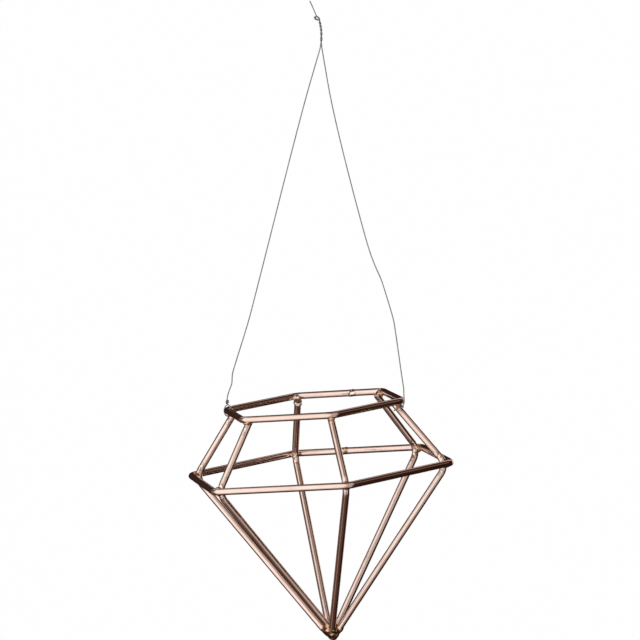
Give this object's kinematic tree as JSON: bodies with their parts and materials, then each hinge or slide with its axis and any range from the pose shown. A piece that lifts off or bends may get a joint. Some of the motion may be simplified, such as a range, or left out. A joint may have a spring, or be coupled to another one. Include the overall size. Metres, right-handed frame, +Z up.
{
  "type": "hanging diamond ornament",
  "caption": "Open wire-frame ornament shaped like a cut gem, two hexagonal rings and bent ribs of copper-plated rod, hung on a twisted steel wire.",
  "frame": {"origin": "crotch of the hanger, under the twist, where a hook or nail carries the ornament", "axes": "+Z up; +X to the right, from the left tie towards the right tie; +Y to the back"},
  "size_m": [0.121, 0.1073, 0.2787],
  "materials": {
    "copper_rod": "bright copper plating on steel rod",
    "weld_bead": "weld bead under thin, browned copper plating",
    "steel_wire": "soft grey steel wire"
  },
  "bodies": {
    "hanger": {"left_strand": "steel_wire", "right_strand": "steel_wire", "left_twist": "steel_wire", "right_twist": "steel_wire", "knot_eye": "steel_wire", "tail": "steel_wire"},
    "frame": {"top_ring": "copper_rod", "girdle_ring": "copper_rod", "rib_right": "copper_rod", "rib_back_right": "copper_rod", "rib_back_left": "copper_rod", "rib_left": "copper_rod", "rib_front_left": "copper_rod", "rib_front_right": "copper_rod", "top_ring_seam_weld": "weld_bead", "girdle_ring_seam_weld": "weld_bead", "crown_weld_right": "weld_bead", "crown_weld_back_right": "weld_bead", "crown_weld_back_left": "weld_bead", "crown_weld_left": "weld_bead", "crown_weld_front_left": "weld_bead", "crown_weld_front_right": "weld_bead", "girdle_weld_right": "weld_bead", "girdle_weld_back_right": "weld_bead", "girdle_weld_back_left": "weld_bead", "girdle_weld_left": "weld_bead", "girdle_weld_front_left": "weld_bead", "girdle_weld_front_right": "weld_bead", "point_weld": "weld_bead", "left_tie": "steel_wire", "left_tie_wrap": "steel_wire", "right_tie": "steel_wire", "right_tie_wrap": "steel_wire"}
  },
  "joints": [
    {"name": "frame_swing", "type": "hinge", "parent": "hanger", "child": "frame", "pos_m": [-0.00394, 0, -0.15018], "axis": [0.9947, 0, 0.1028], "range_deg": [-105, 105]}
  ]
}
